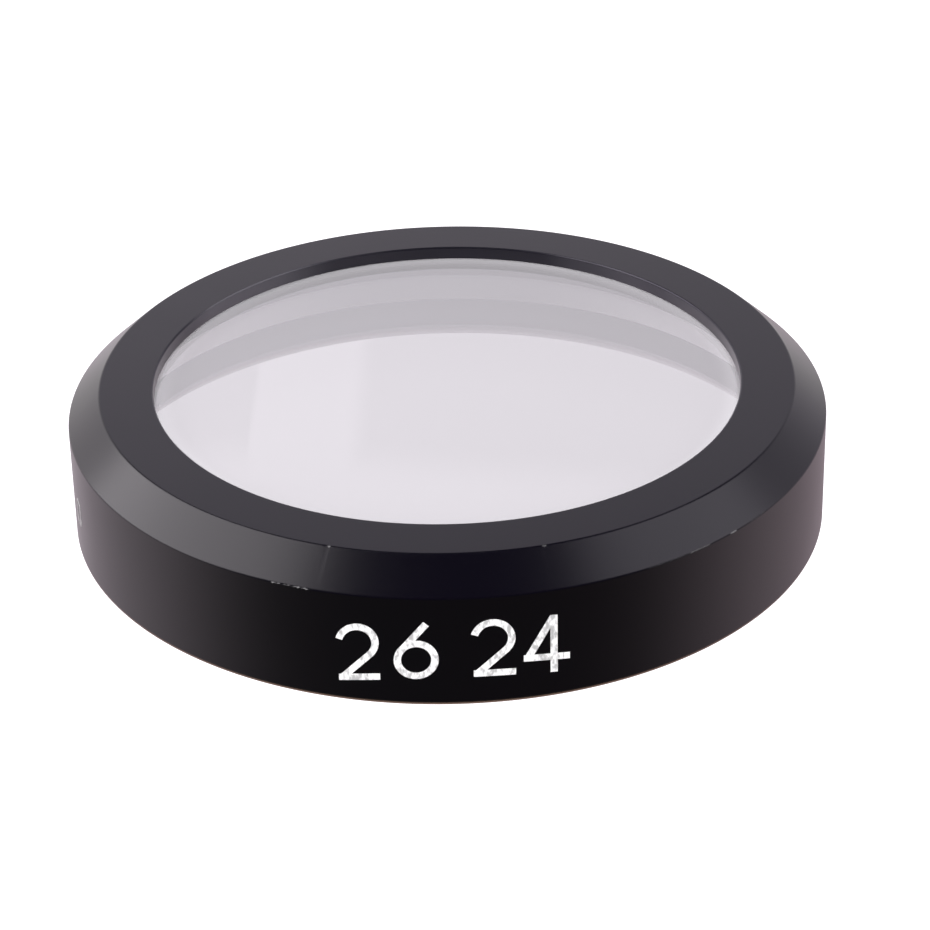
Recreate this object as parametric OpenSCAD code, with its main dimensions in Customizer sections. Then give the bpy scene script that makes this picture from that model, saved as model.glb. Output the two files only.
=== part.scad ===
// Push-on UV filter for a small camera lens: a turned ring, a flat glass and the
// ring that keeps the glass in. It rests on its rear rim, with the glass on top.
// +Z is the optical axis and points out of the front, and z = 0 is the rear rim.

/* [Ring] */
// Thickness of the wall outside the barrel bore
wall_t = 1; // [0.85:0.05:2]
// Height of the ring from rear rim to front face
ring_h = 4.92; // [4.5:0.01:8]
// How far the sloping bezel reaches in from the outside wall
bezel_w = 1.1; // [0.4:0.05:1.6]
// How far the bezel drops below the front face
bezel_h = 1; // [0.4:0.05:2]
// Thickness of the front lip, which is also how deep the glass is sunk
lip_t = 0.45; // [0.3:0.05:0.7]
// How far the front lip reaches in over the glass from the glass seat
lip_reach = 1.4; // [0.7:0.05:2.5]
// Small bevel on the turned edges
edge_break = 0.04; // [0.03:0.01:0.12]

/* [Lens side] */
// Diameter of the bore that slides over the lens barrel
barrel_bore_d = 24; // [18:0.1:40]
// Bevel at the mouth of the barrel bore
bore_lead = 0.1; // [0.05:0.01:0.12]
// How much wider than that bore the skirt behind it is, on the radius
skirt_step = 0.25; // [0.15:0.01:0.3]
// Depth of the skirt, measured from the rear rim
skirt_h = 1.75; // [1.2:0.05:2.1]
// Width of the lead-in cone at the mouth
lead_w = 0.45; // [0.1:0.05:0.45]
// Height of the lead-in cone at the mouth
lead_h = 0.6; // [0.2:0.05:0.9]

/* [Keeper ring] */
// How far inside the barrel bore its thread lies, on the radius, so that it passes
thread_step = 0.2; // [0.15:0.01:0.4]
// Radial gap between the keeper ring and its thread
keeper_gap = 0.05; // [0.03:0.01:0.08]
// Width of the keeper ring from its thread to its own bore
keeper_w = 0.55; // [0.4:0.05:0.9]
// Height of the keeper ring
keeper_h = 0.45; // [0.35:0.05:0.6]
// Length of thread left free behind the keeper ring
thread_spare = 0.1; // [0.05:0.05:0.2]
// Width of each spanner slot
slot_w = 1.2; // [0.8:0.1:2]
// Depth of each spanner slot into the rear of the keeper ring
slot_t = 0.22; // [0.15:0.01:0.3]
// Number of spanner slots
slot_n = 2; // [2:1:4]

/* [Glass] */
// How far inside the keeper thread the glass seat lies, on the radius
seat_step = 0.35; // [0.2:0.01:0.45]
// Radial gap between the glass and its seat
glass_gap = 0.05; // [0.02:0.01:0.1]
// Thickness of the glass
glass_t = 0.8; // [0.7:0.05:1.1]
// How much of the glass stands out of its seat, so that the keeper ring presses on it
glass_proud = 0.1; // [0.05:0.01:0.2]
// Ground bevel round both faces of the glass
glass_bevel = 0.12; // [0.05:0.01:0.2]

/* [Hidden] */
// How far a cutter runs past the face that it cuts
cut_over = 0.5;
$fn = 180;

// Radii, from the barrel bore out to the wall and in to the window
bore_r = barrel_bore_d/2;
outer_r = bore_r + wall_t;
skirt_r = bore_r + skirt_step;
thread_r = bore_r - thread_step;
keeper_r = thread_r - keeper_gap;
keeper_bore_r = keeper_r - keeper_w;
seat_r = thread_r - seat_step;
glass_r = seat_r - glass_gap;
window_r = seat_r - lip_reach;

// Heights, from the front face down to the barrel bore
bezel_bottom = ring_h - bezel_h;
glass_top = ring_h - lip_t;
glass_bottom = glass_top - glass_t;
seat_bottom = glass_bottom + glass_proud;
keeper_bottom = glass_bottom - keeper_h;
thread_bottom = keeper_bottom - thread_spare;

// Half of the ring's section, from the rear rim up the outside, over the lip and
// back down the stepped inside
function frame_section() = [
    [skirt_r + lead_w, 0],
    [outer_r - edge_break, 0],
    [outer_r, edge_break],
    [outer_r, bezel_bottom],
    [outer_r - bezel_w, ring_h],
    [window_r + edge_break, ring_h],
    [window_r, ring_h - edge_break],
    [window_r, glass_top],
    [seat_r, glass_top],
    [seat_r, seat_bottom],
    [thread_r, seat_bottom],
    [thread_r, thread_bottom],
    [bore_r, thread_bottom],
    [bore_r, skirt_h + bore_lead],
    [bore_r + bore_lead, skirt_h],
    [skirt_r, skirt_h],
    [skirt_r, lead_h]
];

// A flat disc with the same bevel round both faces
function disc_section(r, low, high, bevel) = [
    [0, low],
    [r - bevel, low],
    [r, low + bevel],
    [r, high - bevel],
    [r - bevel, high],
    [0, high]
];

// A flat ring whose outer edges are broken so that it starts in its thread
function keeper_section() = [
    [keeper_bore_r, keeper_bottom],
    [keeper_r - edge_break, keeper_bottom],
    [keeper_r, keeper_bottom + edge_break],
    [keeper_r, glass_bottom - edge_break],
    [keeper_r - edge_break, glass_bottom],
    [keeper_bore_r, glass_bottom]
];

// Turned aluminium ring, anodised black all over
module frame() {
    color([0.075, 0.072, 0.078])
        rotate_extrude() polygon(frame_section());
}

// Clear glass with ground edges, pressed up against the lip
module glass() {
    color([0.87, 0.87, 0.90, 0.4])
        rotate_extrude() polygon(disc_section(glass_r, glass_bottom, glass_top, glass_bevel));
}

// One spanner slot, cut right across the rear face of the keeper ring
module spanner_slot() {
    reach = keeper_r - keeper_bore_r + 2*cut_over;
    translate([keeper_bore_r - cut_over, -slot_w/2, keeper_bottom - cut_over])
        cube([reach, slot_w, cut_over + slot_t]);
}

// Slotted ring that screws in from the rear and keeps the glass on its seat
module keeper_ring() {
    color([0.06, 0.06, 0.065])
        difference() {
            rotate_extrude() polygon(keeper_section());
            for (i = [0 : slot_n - 1])
                rotate(i*360/slot_n) spanner_slot();
        }
}

frame();
glass();
keeper_ring();
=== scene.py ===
# A push-on ultraviolet filter for a small camera lens, 26 mm across, lying on its rear rim with
# its glass on top. Each section makes one piece, in the order in which the filter goes together.
import math
import random
import bmesh
import bpy
from mathutils import Matrix, Vector, geometry


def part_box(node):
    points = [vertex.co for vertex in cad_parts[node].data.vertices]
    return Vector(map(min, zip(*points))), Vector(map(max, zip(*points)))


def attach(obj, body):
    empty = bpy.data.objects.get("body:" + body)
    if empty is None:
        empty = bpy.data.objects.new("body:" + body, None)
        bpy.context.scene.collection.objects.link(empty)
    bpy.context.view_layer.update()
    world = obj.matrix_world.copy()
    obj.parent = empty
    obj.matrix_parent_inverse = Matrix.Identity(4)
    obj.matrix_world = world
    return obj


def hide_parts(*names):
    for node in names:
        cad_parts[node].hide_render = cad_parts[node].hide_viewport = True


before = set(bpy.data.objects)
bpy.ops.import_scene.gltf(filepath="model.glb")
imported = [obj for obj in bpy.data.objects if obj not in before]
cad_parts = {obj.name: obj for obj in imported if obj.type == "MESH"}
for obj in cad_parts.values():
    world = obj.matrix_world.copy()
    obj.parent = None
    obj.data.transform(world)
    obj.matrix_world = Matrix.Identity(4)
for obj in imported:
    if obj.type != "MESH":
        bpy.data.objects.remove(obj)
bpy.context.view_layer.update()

# The ring. It is turned from aluminium bar in one piece, bead blasted and anodised black, with
# its bezel, lip, glass seat and stepped bores. Its edges were nicked when it was deburred, and
# the anodising is worn through to brown along the rear rim.
MM = 0.001
RING_STEPS = 1200
PRINT_T = 0.008*MM
_, ring_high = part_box("frame")
glass_low, glass_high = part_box("glass")
keeper_low, keeper_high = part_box("keeper_ring")
wall_r = ring_high.x
ring_h = ring_high.z
bezel_w = 1.1*MM
bezel_h = 1.0*MM
window_r = 10.05*MM
glass_gap = 0.05*MM
glass_proud = 0.1*MM
seat_r = glass_high.x + glass_gap
seat_bottom = glass_low.z + glass_proud
keeper_gap = 0.05*MM
thread_spare = 0.1*MM
thread_r = keeper_high.x + keeper_gap
thread_bottom = keeper_low.z - thread_spare
bore_r = 12.0*MM
bore_lead = 0.1*MM
skirt_r = 12.25*MM
skirt_h = 1.75*MM
lead_w = 0.45*MM
lead_h = 0.6*MM
rim_break = 0.04*MM
rim_wear = 0.13*MM
mouth_round = 0.02*MM
rim_round = 0.01*MM
bezel_round = 0.035*MM
window_round = 0.05*MM
bore_round = 0.03*MM

# Each corner of the ring's half section, with how far back its edge is rounded. The wall is
# turned smaller by the thickness of the print, so that the print ends on the full radius.
ring_corners = [
    (skirt_r + lead_w, 0, mouth_round),
    (wall_r - PRINT_T - rim_break, 0, rim_round),
    (wall_r - PRINT_T, rim_break, rim_round),
    (wall_r - PRINT_T, ring_h - bezel_h, bezel_round),
    (wall_r - PRINT_T - bezel_w, ring_h, bezel_round),
    (window_r, ring_h, window_round),
    (window_r, glass_high.z, 0),
    (seat_r, glass_high.z, 0),
    (seat_r, seat_bottom, 0),
    (thread_r, seat_bottom, 0),
    (thread_r, thread_bottom, 0),
    (bore_r, thread_bottom, bore_round),
    (bore_r, skirt_h + bore_lead, bore_round),
    (bore_r + bore_lead, skirt_h, bore_round),
    (skirt_r, skirt_h, bore_round),
    (skirt_r, lead_h, bore_round),
]


def spin_round(bm, steps):
    """Spins all edges round the axis: one sector first, then turned copies of it, then a merge."""
    sectors = 24
    merge_gap = 0.0005*MM
    bmesh.ops.spin(bm, geom=bm.edges[:] + bm.verts[:], cent=(0, 0, 0), axis=(0, 0, 1),
                   dvec=(0, 0, 0), angle=math.tau/sectors, steps=steps//sectors, use_merge=False,
                   use_normal_flip=False, use_duplicate=False)
    sector = bm.verts[:] + bm.edges[:] + bm.faces[:]
    for i in range(1, sectors):
        copy = bmesh.ops.duplicate(bm, geom=sector)["geom"]
        bmesh.ops.rotate(bm, cent=(0, 0, 0), matrix=Matrix.Rotation(i*math.tau/sectors, 3, "Z"),
                         verts=[v for v in copy if isinstance(v, bmesh.types.BMVert)])
    bmesh.ops.remove_doubles(bm, verts=bm.verts[:], dist=merge_gap)
    bmesh.ops.recalc_face_normals(bm, faces=bm.faces[:])


def as_piece(bm, name):
    """Puts a finished bmesh into the scene as an object of this name."""
    mesh = bpy.data.meshes.new(name)
    bm.to_mesh(mesh)
    bm.free()
    piece = bpy.data.objects.new(name, mesh)
    bpy.context.scene.collection.objects.link(piece)
    return piece


def turned(name, corners, steps):
    """Spins a half section round the axis. Its corners are rounded first, and each long side
    gets a loop close to either end, which keeps the flats flat under smooth shading."""
    loop_gap = 0.02*MM
    long_side = 0.2*MM
    bm = bmesh.new()
    points = [bm.verts.new((r, 0, z)) for r, z, _ in corners]
    bm.faces.new(points)
    for point, (_, _, rounding) in zip(points, corners):
        if rounding:
            bmesh.ops.bevel(bm, geom=[point], offset=rounding, offset_type="OFFSET",
                            segments=3, profile=0.5, affect="VERTICES", material=-1,
                            clamp_overlap=True)
    bmesh.ops.delete(bm, geom=bm.faces[:], context="FACES_ONLY")
    for side in [s for s in bm.edges if s.calc_length() > long_side]:
        start, end = side.verts
        length = side.calc_length()
        rest, _ = bmesh.utils.edge_split(side, start, loop_gap/length)
        far = rest if end in rest.verts else side
        bmesh.utils.edge_split(far, end, loop_gap/(length - loop_gap))
    spin_round(bm, steps)
    for face in bm.faces:
        face.smooth = True
    return as_piece(bm, name)


class Shade:
    """One socket of a node tree, with sums on it written as plain expressions."""

    def __init__(self, tree, socket=None):
        self.tree = tree
        self.socket = socket

    def node(self, kind, settings={}, inputs={}, output=0):
        """Adds a node of any type: its settings first, then the values or links of its sockets."""
        made = self.tree.nodes.new(kind)
        for name, value in settings.items():
            setattr(made, name, value)
        for name, value in inputs.items():
            if isinstance(value, Shade):
                self.tree.links.new(value.socket, made.inputs[name])
            else:
                made.inputs[name].default_value = value
        return Shade(self.tree, made.outputs[output] if made.outputs else None)

    def sum(self, operation, a, b=0.0):
        """Adds a Math node, whose operation goes by the name that Blender gives it."""
        return self.node("ShaderNodeMath", {"operation": operation}, {0: a, 1: b})

    def __add__(self, other):
        return self.sum("ADD", self, other)

    def __sub__(self, other):
        return self.sum("SUBTRACT", self, other)

    def __rsub__(self, other):
        return self.sum("SUBTRACT", other, self)

    def __mul__(self, other):
        return self.sum("MULTIPLY", self, other)

    def __truediv__(self, other):
        return self.sum("DIVIDE", self, other)

    __radd__ = __add__
    __rmul__ = __mul__

    def step(self, low, high):
        """0 below low, 1 above high, and a smooth rise between them."""
        return self.node("ShaderNodeMapRange", {"interpolation_type": "SMOOTHSTEP"},
                         {"Value": self, "From Min": low, "From Max": high})

    def axis(self, name):
        """One part, X, Y or Z, of a place or a direction."""
        return self.node("ShaderNodeSeparateXYZ", {}, {"Vector": self}, output=name)

    def mixed(self, low_colour, high_colour):
        """The colour that lies this far from the first to the second. The node has sockets of
        the same names for numbers and vectors, so those for colours go by their places."""
        return self.node("ShaderNodeMix", {"data_type": "RGBA"},
                         {0: self, 6: low_colour, 7: high_colour}, output=2)


def start_material(name):
    """A new material with an empty node tree, and a Shade to add nodes to it with."""
    material = bpy.data.materials.new(name)
    material.use_nodes = True
    material.node_tree.nodes.clear()
    return material, Shade(material.node_tree)


def end_material(shade, sockets):
    """Gives the material its surface: one Principled shader with these sockets."""
    surface = shade.node("ShaderNodeBsdfPrincipled", {}, sockets)
    shade.node("ShaderNodeOutputMaterial", {}, {"Surface": surface})


def object_place(shade):
    """Where a point of the surface lies on the object, in metres."""
    return shade.node("ShaderNodeTexCoord", output="Object")


BLAST_PER_METRE = 14000
BLAST_DEPTH = 0.004*MM
CLOUDS_PER_METRE = 260


def noise(place, per_metre, detail):
    """Even, cloudy noise from 0 to 1, with about this many grains in a metre."""
    return place.node("ShaderNodeTexNoise", {}, {"Vector": place, "Scale": per_metre,
                      "Detail": detail, "Roughness": 0.5})


def blasted_black():
    """Dyed anodising over a blasted surface: hardly any colour of its own, with a satin gloss.
    It is bare metal where the edges are nicked, and worn to brown at the rear rim."""
    material, s = start_material("blasted_black")
    place = object_place(s)
    height = place.axis("Z")
    blast = noise(place, BLAST_PER_METRE, 3)
    cloud = noise(place, CLOUDS_PER_METRE, 2)
    bare = s.node("ShaderNodeAttribute", {"attribute_name": "worn"}, output="Fac")
    brown = 1 - height.step(0.02*MM, rim_wear)
    on_bezel = height.step(ring_h - bezel_h - 0.04*MM, ring_h - bezel_h)
    colour = on_bezel.mixed((0.0008, 0.0007, 0.0012, 1), (0.0008, 0.0005, 0.0022, 1))
    colour = brown.mixed(colour, (0.22, 0.148, 0.110, 1))
    colour = bare.mixed(colour, (0.30, 0.295, 0.30, 1))
    grain = s.node("ShaderNodeBump", {}, {"Height": blast, "Strength": 0.06,
                   "Distance": BLAST_DEPTH})
    end_material(s, {"Base Color": colour, "IOR": 1.5, "Normal": grain,
                     "Roughness": 0.30 - on_bezel*0.04 + cloud*0.06 + bare*0.1})
    return material


def turned_black():
    """The same anodising inside the ring, as turned. Its bore that takes the lens barrel is
    painted paler, most of all at its sides, as a painted sheen, and it is rubbed bare at the mouth."""
    material, s = start_material("turned_black")
    place = object_place(s)
    height = place.axis("Z")
    cloud = noise(place, CLOUDS_PER_METRE, 2)
    sideways = s.sum("ABSOLUTE", place.axis("X")).step(2.5*MM, 10.5*MM)
    in_bore = height.step(skirt_h, skirt_h + bore_lead)
    paler_part = 1 - height.step(0.02*MM, 0.42*MM)
    # A painted sheen: the bore is painted paler, most of all towards its sides
    colour = sideways.mixed((0.225, 0.222, 0.23, 1), (0.66, 0.654, 0.67, 1))
    colour = in_bore.mixed((0.006, 0.006, 0.006, 1), colour)
    colour = paler_part.mixed(colour, (0.36, 0.355, 0.36, 1))
    end_material(s, {"Base Color": colour, "Roughness": 0.36 + cloud*0.08})
    return material


def lip_black():
    """The same anodising round the window's edge, where a finer cut left it glossier. It is
    paler at the back on the left, and a little on the right: painted light, with some real
    rubbing on the left."""
    material, s = start_material("lip_black")
    rightwards = object_place(s).axis("X")
    leftwards = 0 - rightwards
    # Painted light on the recess wall, with some real rubbing at the back on the left
    paler_part = leftwards.step(3.8*MM, 6.6*MM)*0.9 + leftwards.step(0.5*MM, 3.6*MM)*0.12
    paler_part = paler_part*(1 - leftwards.step(8.2*MM, 9.4*MM))
    paler_part = paler_part + rightwards.step(3.4*MM, 4.8*MM)*(1 - rightwards.step(6.4*MM, 7.8*MM))*0.35
    end_material(s, {"Base Color": paler_part.mixed((0.004, 0.0038, 0.006, 1), (0.05, 0.048, 0.054, 1)),
                     "Roughness": 0.3, "IOR": 1.52, "Specular Tint": (1.0, 0.95, 1.12, 1)})
    return material


ring = turned("ring", ring_corners, RING_STEPS)
for finish in (blasted_black(), turned_black(), lip_black()):
    ring.data.materials.append(finish)
ON_TURNED, ON_LIP = 1, 2
for face in ring.data.polygons:
    face_r = math.hypot(face.center.x, face.center.y)
    in_seat = face_r < thread_r + 0.01*MM and face.center.z < glass_high.z
    in_bores = face_r < skirt_r + lead_w and face.center.z < thread_bottom
    if in_seat or in_bores:
        face.material_index = ON_TURNED
    elif face_r < window_r + window_round:
        face.material_index = ON_LIP

# Nicks and burrs on the edges: radius and height of the edge, the angles between which they lie
# (0 is the front, and they run to the right), how bare they are, how even, and how deep they go
bezel_foot = (wall_r, ring_h - bezel_h)
bezel_head = (wall_r - bezel_w, ring_h)
window_rim = (window_r, ring_h)
NICKS = [
    (bezel_foot, -25.5, -19.5, 0.90, 0.0, 0.012*MM),
    (bezel_foot, 29.0, 36.0, 0.08, 0.3, 0.004*MM),
    (bezel_foot, 36.0, 39.8, 0.20, 0.5, 0.0),
    (bezel_foot, 43.8, 45.2, 0.34, 1.0, 0.0),
    (bezel_foot, 48.5, 52.0, 0.08, 0.1, 0.006*MM),
    (bezel_head, -18.9, -18.5, 0.0, 1.0, 0.03*MM),
    (bezel_head, -18.5, -18.1, 0.28, 1.0, 0.0),
    (bezel_head, 14.2, 14.9, 0.10, 1.0, 0.01*MM),
    (window_rim, 166.0, 168.5, 0.10, 0.8, 0.0),
    (window_rim, 171.5, 173.0, 0.06, 0.8, 0.0),
    (window_rim, -147.0, -118.0, 0.05, 0.2, 0.008*MM),
]
reach = 0.03*MM
worn = ring.data.attributes.new("worn", "FLOAT", "POINT")
chance = random.Random(5)
for i, v in enumerate(ring.data.vertices):
    angle = math.degrees(math.atan2(v.co.x, -v.co.y))
    from_axis = math.hypot(v.co.x, v.co.y)
    for (edge_r, edge_z), start, end, bareness, evenness, depth in NICKS:
        if start < angle < end and math.hypot(from_axis - edge_r, v.co.z - edge_z) < reach:
            rough = evenness + (1 - evenness)*chance.random()**3
            worn.data[i].value = bareness*rough
            v.co -= Vector((v.co.x, v.co.y, 0)).normalized()*depth*chance.random()
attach(ring, "root")
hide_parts("frame")

# The glass. It is a flat disc cut from optical glass, with both faces polished and coated and
# a fine ground bevel round each, and it drops into its seat from behind.
GLASS_STEPS = 360
glass_bevel = 0.12*MM
glass_corners = [
    (0, glass_low.z, 0),
    (glass_high.x - glass_bevel, glass_low.z, 0),
    (glass_high.x, glass_low.z + glass_bevel, 0),
    (glass_high.x, glass_high.z - glass_bevel, 0),
    (glass_high.x - glass_bevel, glass_high.z, 0),
    (0, glass_high.z, 0),
]


def filter_glass():
    """Clear coated glass, as a thin veil of pale lavender with a hard gloss: the veil is a painted
    reflection of the studio light. Most of it lies on the front face, and it is painted lighter
    right at the rim, against the lip's shade."""
    material, s = start_material("filter_glass")
    place = object_place(s)
    flat = s.node("ShaderNodeVectorMath", {"operation": "MULTIPLY"}, {0: place, 1: (1, 1, 0)})
    from_axis = s.node("ShaderNodeVectorMath", {"operation": "LENGTH"}, {0: flat}, output="Value")
    front = place.axis("Z").step(glass_low.z + glass_bevel, glass_high.z - glass_bevel)
    # Painted light: the rim is lighter, against the shade that the lip casts on the glass
    painted_rim_light = from_axis.step(9.3*MM, 10.05*MM)
    # The pale lavender veil is a painted reflection of the studio light
    end_material(s, {"Base Color": painted_rim_light.mixed((0.350, 0.341, 0.357, 1), (0.47, 0.46, 0.48, 1)),
                     "Roughness": 0.03, "IOR": 2.2, "Alpha": 0.15 + front*0.37})
    return material


def round_disc(name, corners, steps):
    """Spins a half section that reaches the axis, and closes its two poles."""
    bm = bmesh.new()
    points = [bm.verts.new((r, 0, z)) for r, z, _ in corners]
    for a, b in zip(points, points[1:]):
        bm.edges.new((a, b))
    spin_round(bm, steps)
    return as_piece(bm, name)


glass = round_disc("glass_disc", glass_corners, GLASS_STEPS)
glass.data.materials.append(filter_glass())
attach(glass, "root")
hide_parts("glass")

# The keeper ring. It is turned thin and flat, screws in behind the glass with a pin spanner in
# its two slots, and is anodised matt black.


def keeper_black():
    """Matt black anodising with a fine blasted grain."""
    material, s = start_material("keeper_black")
    place = object_place(s)
    blast = noise(place, BLAST_PER_METRE, 3)
    cloud = noise(place, CLOUDS_PER_METRE, 2)
    grain = s.node("ShaderNodeBump", {}, {"Height": blast, "Strength": 0.2,
                   "Distance": BLAST_DEPTH})
    end_material(s, {"Base Color": (0.02, 0.02, 0.021, 1), "Roughness": 0.45 + cloud*0.1,
                     "Normal": grain})
    return material


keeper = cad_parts["keeper_ring"]
keeper.data.materials.clear()
keeper.data.materials.append(keeper_black())

# The print. Plain numbers, the diameters of the ring and of the barrel, are stamped in silver
# white on the front of the wall, in strokes of one width. The line rises a little at its middle.
STROKE_W = 0.235*MM
STRIP_W = 0.1*MM
PRINT_MIDDLE = 0.7*MM
ARC_STEP = math.radians(10)
MOTTLE_PER_METRE = 4800


def arc(x, y, radius, start, end):
    """Points along an arc, in millimetres, whose ends are given in degrees."""
    start, end = math.radians(start), math.radians(end)
    count = max(2, round(abs(end - start)/ARC_STEP))
    turn = [start + (end - start)*i/count for i in range(count + 1)]
    return [(x + radius*math.cos(t), y + radius*math.sin(t)) for t in turn]


# The middle lines of the strokes, in millimetres from the digit's lower left corner
DIGITS = {
    "0": [arc(0.72, 1.39, 0.5, 0, 180) + arc(0.72, 0.72, 0.5, 180, 360) + [(1.22, 1.39)]],
    "2": [arc(0.72, 1.39, 0.595, 165, -45) + [(0.22, 0.125)], [(0.1, 0.125), (1.44, 0.125)]],
    "4": [[(0.98, 2.05), (0.15, 0.575)], [(0.02, 0.575), (1.52, 0.575)], [(1.0, 2.11), (1.0, 0)]],
    "6": [[(1.06, 2.03)] + arc(0.72, 0.72, 0.595, 148, 508)],
}


def stroke_quads(line, width):
    """The four-sided pieces of a stroke of even width along a line."""
    sides = []
    for i, (x, y) in enumerate(line):
        before, after = line[max(i - 1, 0)], line[min(i + 1, len(line) - 1)]
        along = Vector((after[0] - before[0], after[1] - before[1])).normalized()
        off = Vector((-along.y, along.x))*width/2
        sides.append((Vector((x, y)) + off, Vector((x, y)) - off))
    return [(a[0], a[1], b[1], b[0]) for a, b in zip(sides, sides[1:])]


def printed(name, places, low, arch, scale):
    """Prints digits round the wall as one piece. Each comes with its left side's distance along
    the wall from the front. They are merged flat, thickened, cut into strips and bent. Low is
    the height of their feet, and arch is how fast the line falls away from its middle."""
    corners = []
    quads = []
    for digit, shift in places:
        for line in DIGITS[digit]:
            line = [(x*scale*MM + shift, y*scale*MM) for x, y in line]
            for quad in stroke_quads(line, STROKE_W*scale):
                quads.append(range(len(corners), len(corners) + 4))
                corners.extend(quad)
    spots, _, triangles, _, _, sources = geometry.delaunay_2d_cdt(
        [c/MM for c in corners], [], quads, 1, 0.0001)
    bm = bmesh.new()
    points = [bm.verts.new((p.x*MM, p.y*MM, 0)) for p in spots]
    for triangle, quads_there in zip(triangles, sources):
        if quads_there:
            bm.faces.new([points[i] for i in triangle])
    bmesh.ops.delete(bm, geom=[v for v in bm.verts if not v.link_faces], context="VERTS")
    bmesh.ops.dissolve_limit(bm, angle_limit=0.001, verts=bm.verts[:], edges=bm.edges[:])
    raised = bmesh.ops.extrude_face_region(bm, geom=bm.faces[:])["geom"]
    bmesh.ops.translate(bm, vec=(0, 0, PRINT_T),
                        verts=[v for v in raised if isinstance(v, bmesh.types.BMVert)])
    left = min(v.co.x for v in bm.verts)
    right = max(v.co.x for v in bm.verts)
    for i in range(1, math.ceil((right - left)/STRIP_W)):
        bmesh.ops.bisect_plane(bm, geom=bm.verts[:] + bm.edges[:] + bm.faces[:], dist=1e-9,
                               plane_co=(left + i*STRIP_W, 0, 0), plane_no=(1, 0, 0))
    for v in bm.verts:
        round_r = wall_r - PRINT_T + v.co.z
        angle = v.co.x/wall_r
        rise = low - arch*(v.co.x - PRINT_MIDDLE)**2
        v.co = (round_r*math.sin(angle), -round_r*math.cos(angle), rise + v.co.y)
    bmesh.ops.recalc_face_normals(bm, faces=bm.faces[:])
    return as_piece(bm, name)


def silver_ink(name, strength):
    """White ink with a silver mottle, as it lies on blasted metal. A weak print is greyer."""
    material, s = start_material(name)
    slanted = s.node("ShaderNodeMapping", {}, {"Vector": object_place(s),
                     "Rotation": (0, 0.7, 0), "Scale": (1.5, 1, 0.8)})
    mottle = noise(slanted, MOTTLE_PER_METRE, 2).step(0.33, 0.60)
    dark, light = 0.46*strength, 0.93*strength
    end_material(s, {"Base Color": mottle.mixed((dark, dark, dark, 1), (light, light, light, 1)),
                     "Roughness": 0.5})
    return material


# The diameters on the front, and a small faint zero far round to the left
digit_places = [("2", -3.69*MM), ("6", -1.81*MM), ("2", 0.61*MM), ("4", 2.28*MM)]
numbers = printed("wall_numbers", digit_places, low=1.03*MM, arch=17.5, scale=1.0)
zero = printed("side_number", [("0", -17.3*MM)], low=1.2*MM, arch=0.0, scale=0.55)
for piece, ink in ((numbers, silver_ink("silver_ink", 1.0)), (zero, silver_ink("weak_ink", 0.42))):
    piece.data.materials.append(ink)
    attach(piece, "root")

# The studio: a pale floor that only the camera sees, a broad light on either side, one from the
# front for the print, one from above for the glass, and a dim backdrop that is darker on the
# camera's side.
FLOOR_HALF = 0.4
FLOOR_WHITE = 1.5
bm = bmesh.new()
bmesh.ops.create_grid(bm, x_segments=1, y_segments=1, size=FLOOR_HALF)
floor = as_piece(bm, "floor")
floor.visible_diffuse = False
floor.visible_glossy = False
floor.visible_shadow = False
floor_material, s = start_material("floor_white")
floor_place = object_place(s)
floor_x = floor_place.axis("X")/MM
floor_y = floor_place.axis("Y")/MM
from_axis = s.node("ShaderNodeVectorMath", {"operation": "LENGTH"}, {0: floor_place},
                   output="Value")

# Under the glass the floor is greyer, a painted shadow of the ring, but for a pale upright
# stripe, which is a painted reflection, and the side near the camera, which is painted lighter
from_edge = floor_x - floor_y*0.02
painted_reflection_stripe = from_edge.step(-7.5, -7.2)*(1 - from_edge.step(-3.9, -2.9))
near_side = 1 - (floor_y + floor_x*0.18).step(0.5, 4.0)
floor_painted_light = 0.56 + s.sum("MAXIMUM", painted_reflection_stripe, near_side)*0.11
# Outside the ring the floor is raised to full white
floor_painted_light = floor_painted_light + from_axis.step(12.72*MM, 12.98*MM)*0.8
lit = (floor_painted_light/FLOOR_WHITE).mixed((0, 0, 0, 1), (1, 0.965, 1.01, 1))
end_material(s, {"Base Color": (0.05, 0.05, 0.05, 1), "Roughness": 0.9, "Emission Color": lit,
                 "Emission Strength": FLOOR_WHITE, "Specular IOR Level": 0.0})
floor.data.materials.append(floor_material)


def panel(name, azimuth, elevation, distance, size, radiance, colour, seen_in_gloss=True):
    """A square light that faces the filter. Azimuth 0 is the camera's side, 90 is the right."""
    a, e = math.radians(azimuth), math.radians(elevation)
    away = Vector((math.sin(a)*math.cos(e), -math.cos(a)*math.cos(e), math.sin(e)))
    light = bpy.data.lights.new(name, "AREA")
    light.shape = "SQUARE"
    light.size = size
    light.energy = radiance*math.pi*size*size
    light.color = colour
    lamp = bpy.data.objects.new(name, light)
    lamp.location = away*distance
    lamp.rotation_euler = away.to_track_quat("Z", "Y").to_euler()
    lamp.visible_glossy = seen_in_gloss
    bpy.context.scene.collection.objects.link(lamp)


white = (1, 1, 1)
panel("left_panel", azimuth=-97, elevation=40, distance=0.25, size=0.24, radiance=3.05,
      colour=(1.0, 0.95, 0.99))
panel("right_panel", azimuth=85, elevation=43, distance=0.25, size=0.18, radiance=1.5,
      colour=(1.0, 0.95, 1.04))
panel("front_panel", azimuth=0, elevation=10, distance=0.30, size=0.20, radiance=7.5,
      colour=white, seen_in_gloss=False)
panel("top_panel", azimuth=0, elevation=89, distance=0.30, size=0.25, radiance=9.4,
      colour=white, seen_in_gloss=False)

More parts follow.
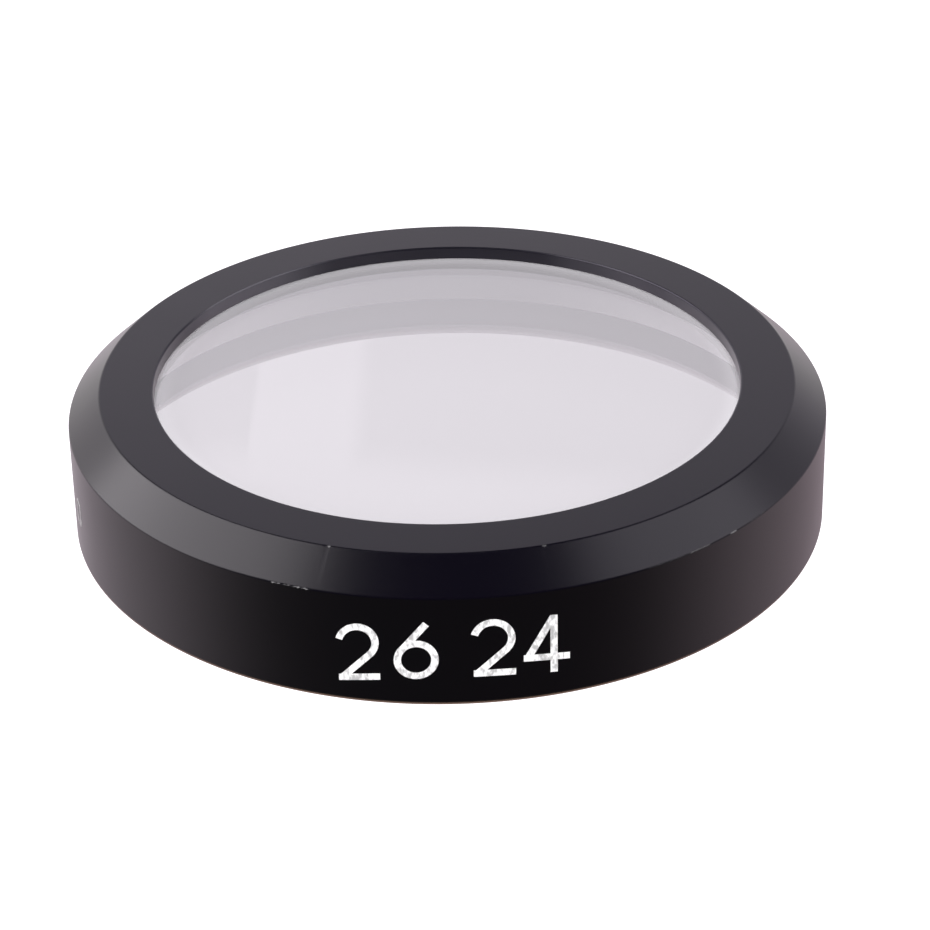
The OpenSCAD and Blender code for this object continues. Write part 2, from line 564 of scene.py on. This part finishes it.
# The backdrop by direction: how far up, and the shares of its level part that lie to the back
# and to the right. A share is 1 where it points straight that way.
world = bpy.data.worlds.new("backdrop")
bpy.context.scene.world = world
world.use_nodes = True
world.node_tree.nodes.clear()
w = Shade(world.node_tree)
way = w.node("ShaderNodeTexCoord", output="Generated")
up = way.axis("Z")
level = w.sum("SQRT", way.axis("X")*way.axis("X") + way.axis("Y")*way.axis("Y"))
back_share = way.axis("Y")/(level + 0.0001)
right_share = way.axis("X")/(level + 0.0001)
overhead = up.step(0.40, 0.66)
horizon = up.step(-0.45, -0.1)
far_level = up.step(-0.3, -0.1)*(1 - up.step(0.1, 0.35))
right_side = right_share.step(-0.11, 0.05)
right_end = right_share.step(0.42, 0.80)
left_low = (1 - right_side)*(1 - horizon)*back_share.step(0.75, 0.9)

# How bright it is: brightest at the back, with darker ends on the right and nothing overhead
bright = (0.70 + horizon*0.28)*(1 - overhead)*(1.03 - right_side*back_share.step(0.5, 1.0)*0.2)
bright = bright*(1 - right_end*(0.14 + horizon*0.30)) + left_low*0.2
bright = bright + back_share.step(0.89, 0.97)*far_level*(0.2 + right_side*0.35)
sky = 0.075 - up.step(-0.3, 0.6)*0.055 + back_share.step(-0.72, 0.25)*bright

# Its tint: faintly pink below, and nearly white above and right behind
low_tint = right_side.mixed((1.065, 0.93, 1.025, 1), (1.10, 0.90, 1.0, 1))
high_tint = right_share.step(-0.45, -0.2).mixed((1.01, 0.955, 1.0, 1), (1.01, 0.945, 1.06, 1))
tint = up.step(-0.5, 0.2).mixed(low_tint, high_tint)
tint = (back_share.step(0.78, 0.9)*far_level).mixed(tint, (1.0, 0.965, 0.97, 1))
background = w.node("ShaderNodeBackground", {}, {"Color": tint, "Strength": sky})
w.node("ShaderNodeOutputWorld", {}, {"Surface": background})

# The camera, which was fitted to the edges of the ring in the photograph.
IMAGE_PX = 930
focal_px = 3247.4
camera_elevation = 0.51454
camera_roll = -0.02039
camera_distance = 113.12*MM
aim = Vector((0.566, 0, 1.346))*MM
camera_data = bpy.data.cameras.new("camera")
camera_data.sensor_fit = "HORIZONTAL"
camera_data.lens = camera_data.sensor_width*focal_px/IMAGE_PX
camera_data.clip_start = 0.001
camera_data.clip_end = 10
camera = bpy.data.objects.new("camera", camera_data)
bpy.context.scene.collection.objects.link(camera)
towards = Vector((0, -math.cos(camera_elevation), math.sin(camera_elevation)))
camera.matrix_world = (Matrix.Translation(aim + towards*camera_distance)
                       @ Matrix.Rotation(math.pi/2 - camera_elevation, 4, "X")
                       @ Matrix.Rotation(camera_roll, 4, "Z"))
bpy.context.scene.camera = camera
bpy.context.scene.view_settings.view_transform = "Standard"
